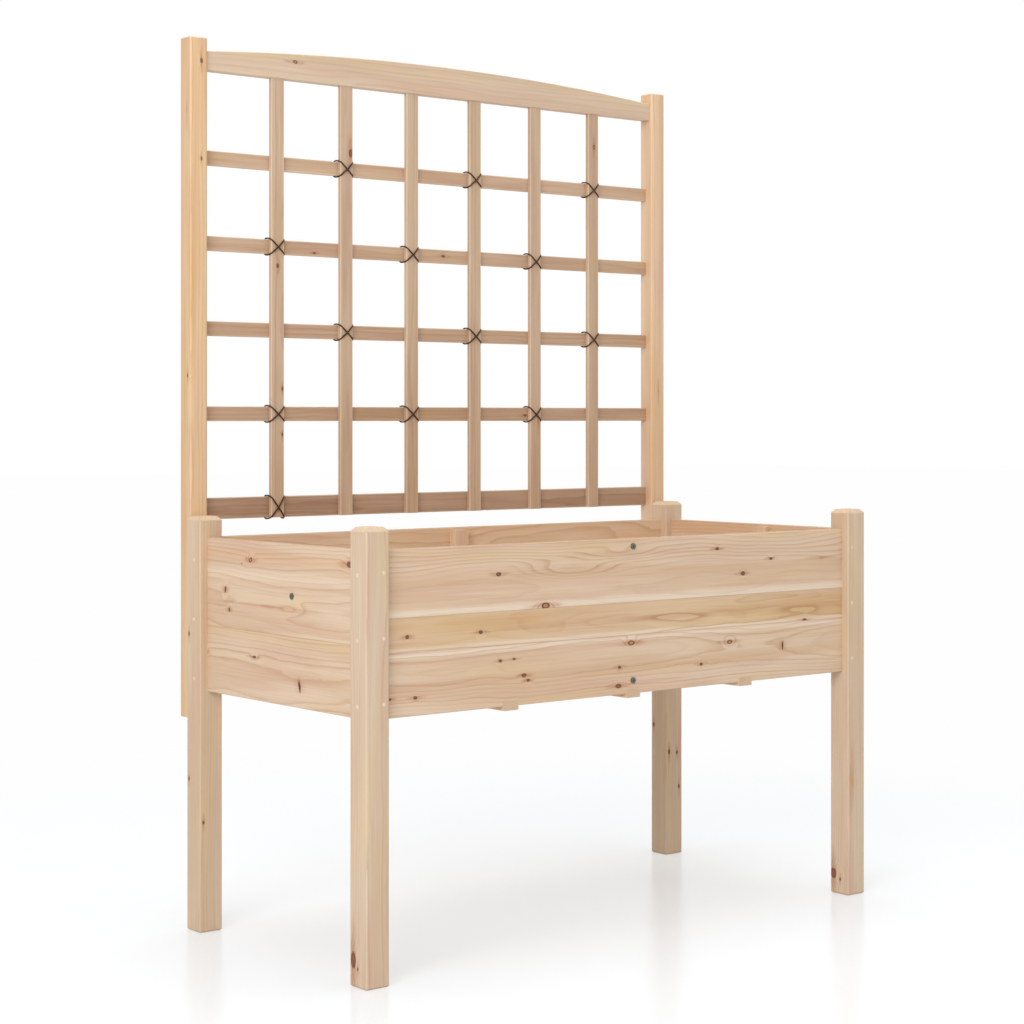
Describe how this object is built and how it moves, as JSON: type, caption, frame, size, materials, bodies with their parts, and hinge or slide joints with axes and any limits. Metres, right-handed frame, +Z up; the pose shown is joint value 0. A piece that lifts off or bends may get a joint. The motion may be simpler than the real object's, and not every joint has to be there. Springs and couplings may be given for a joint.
{
  "type": "raised planter with trellis",
  "caption": "Rectangular wooden planter bed raised on square legs, with a slatted trellis under a shallow arched top rail behind it.",
  "frame": {"origin": "middle of the object's footprint, on the ground", "axes": "+Z up, +X to the right along the front as seen from the front, +Y to the rear, towards the trellis"},
  "size_m": [1.22, 0.619, 1.668],
  "materials": {
    "leg_wood": "planed softwood, bare",
    "long_panel_wood": "planed softwood, edge-glued, knots",
    "end_panel_wood": "planed softwood, edge-glued, knots",
    "post_wood": "planed softwood, rounded corners",
    "lattice_wood": "planed softwood, bare",
    "inner_wood": "sawn softwood, bare",
    "plug_wood": "pale softwood plug, flush",
    "zinc_screw": "dull zinc",
    "tie_wire": "dark brown coated wire"
  },
  "bodies": {
    "root": {"back_board_bottom": "long_panel_wood", "back_board_middle": "long_panel_wood", "back_board_top": "long_panel_wood", "batten_centre": "inner_wood", "batten_left": "inner_wood", "batten_right": "inner_wood", "batten_screws": "zinc_screw", "centre_cleat_back": "inner_wood", "centre_cleat_front": "inner_wood", "end_cleat_left": "inner_wood", "end_cleat_right": "inner_wood", "floor_board_1": "inner_wood", "floor_board_2": "inner_wood", "floor_board_3": "inner_wood", "floor_board_4": "inner_wood", "floor_board_5": "inner_wood", "floor_ledger_left": "inner_wood", "floor_ledger_right": "inner_wood", "front_board_bottom": "long_panel_wood", "front_board_middle": "long_panel_wood", "front_board_top": "long_panel_wood", "lattice_ties": "tie_wire", "left_end_board_bottom": "end_panel_wood", "left_end_board_top": "end_panel_wood", "leg_front_left": "leg_wood", "leg_front_right": "leg_wood", "leg_pins": "zinc_screw", "leg_plugs": "plug_wood", "leg_rear_left": "leg_wood", "leg_rear_right": "leg_wood", "panel_screws": "zinc_screw", "post_screws": "zinc_screw", "right_end_board_bottom": "end_panel_wood", "right_end_board_top": "end_panel_wood", "trellis_bottom_rail": "lattice_wood", "trellis_post_left": "post_wood", "trellis_post_right": "post_wood", "trellis_slat_1": "lattice_wood", "trellis_slat_2": "lattice_wood", "trellis_slat_3": "lattice_wood", "trellis_slat_4": "lattice_wood", "trellis_top_rail": "lattice_wood", "trellis_upright_1": "lattice_wood", "trellis_upright_2": "lattice_wood", "trellis_upright_3": "lattice_wood", "trellis_upright_4": "lattice_wood", "trellis_upright_5": "lattice_wood", "trellis_upright_6": "lattice_wood"}
  },
  "joints": []
}
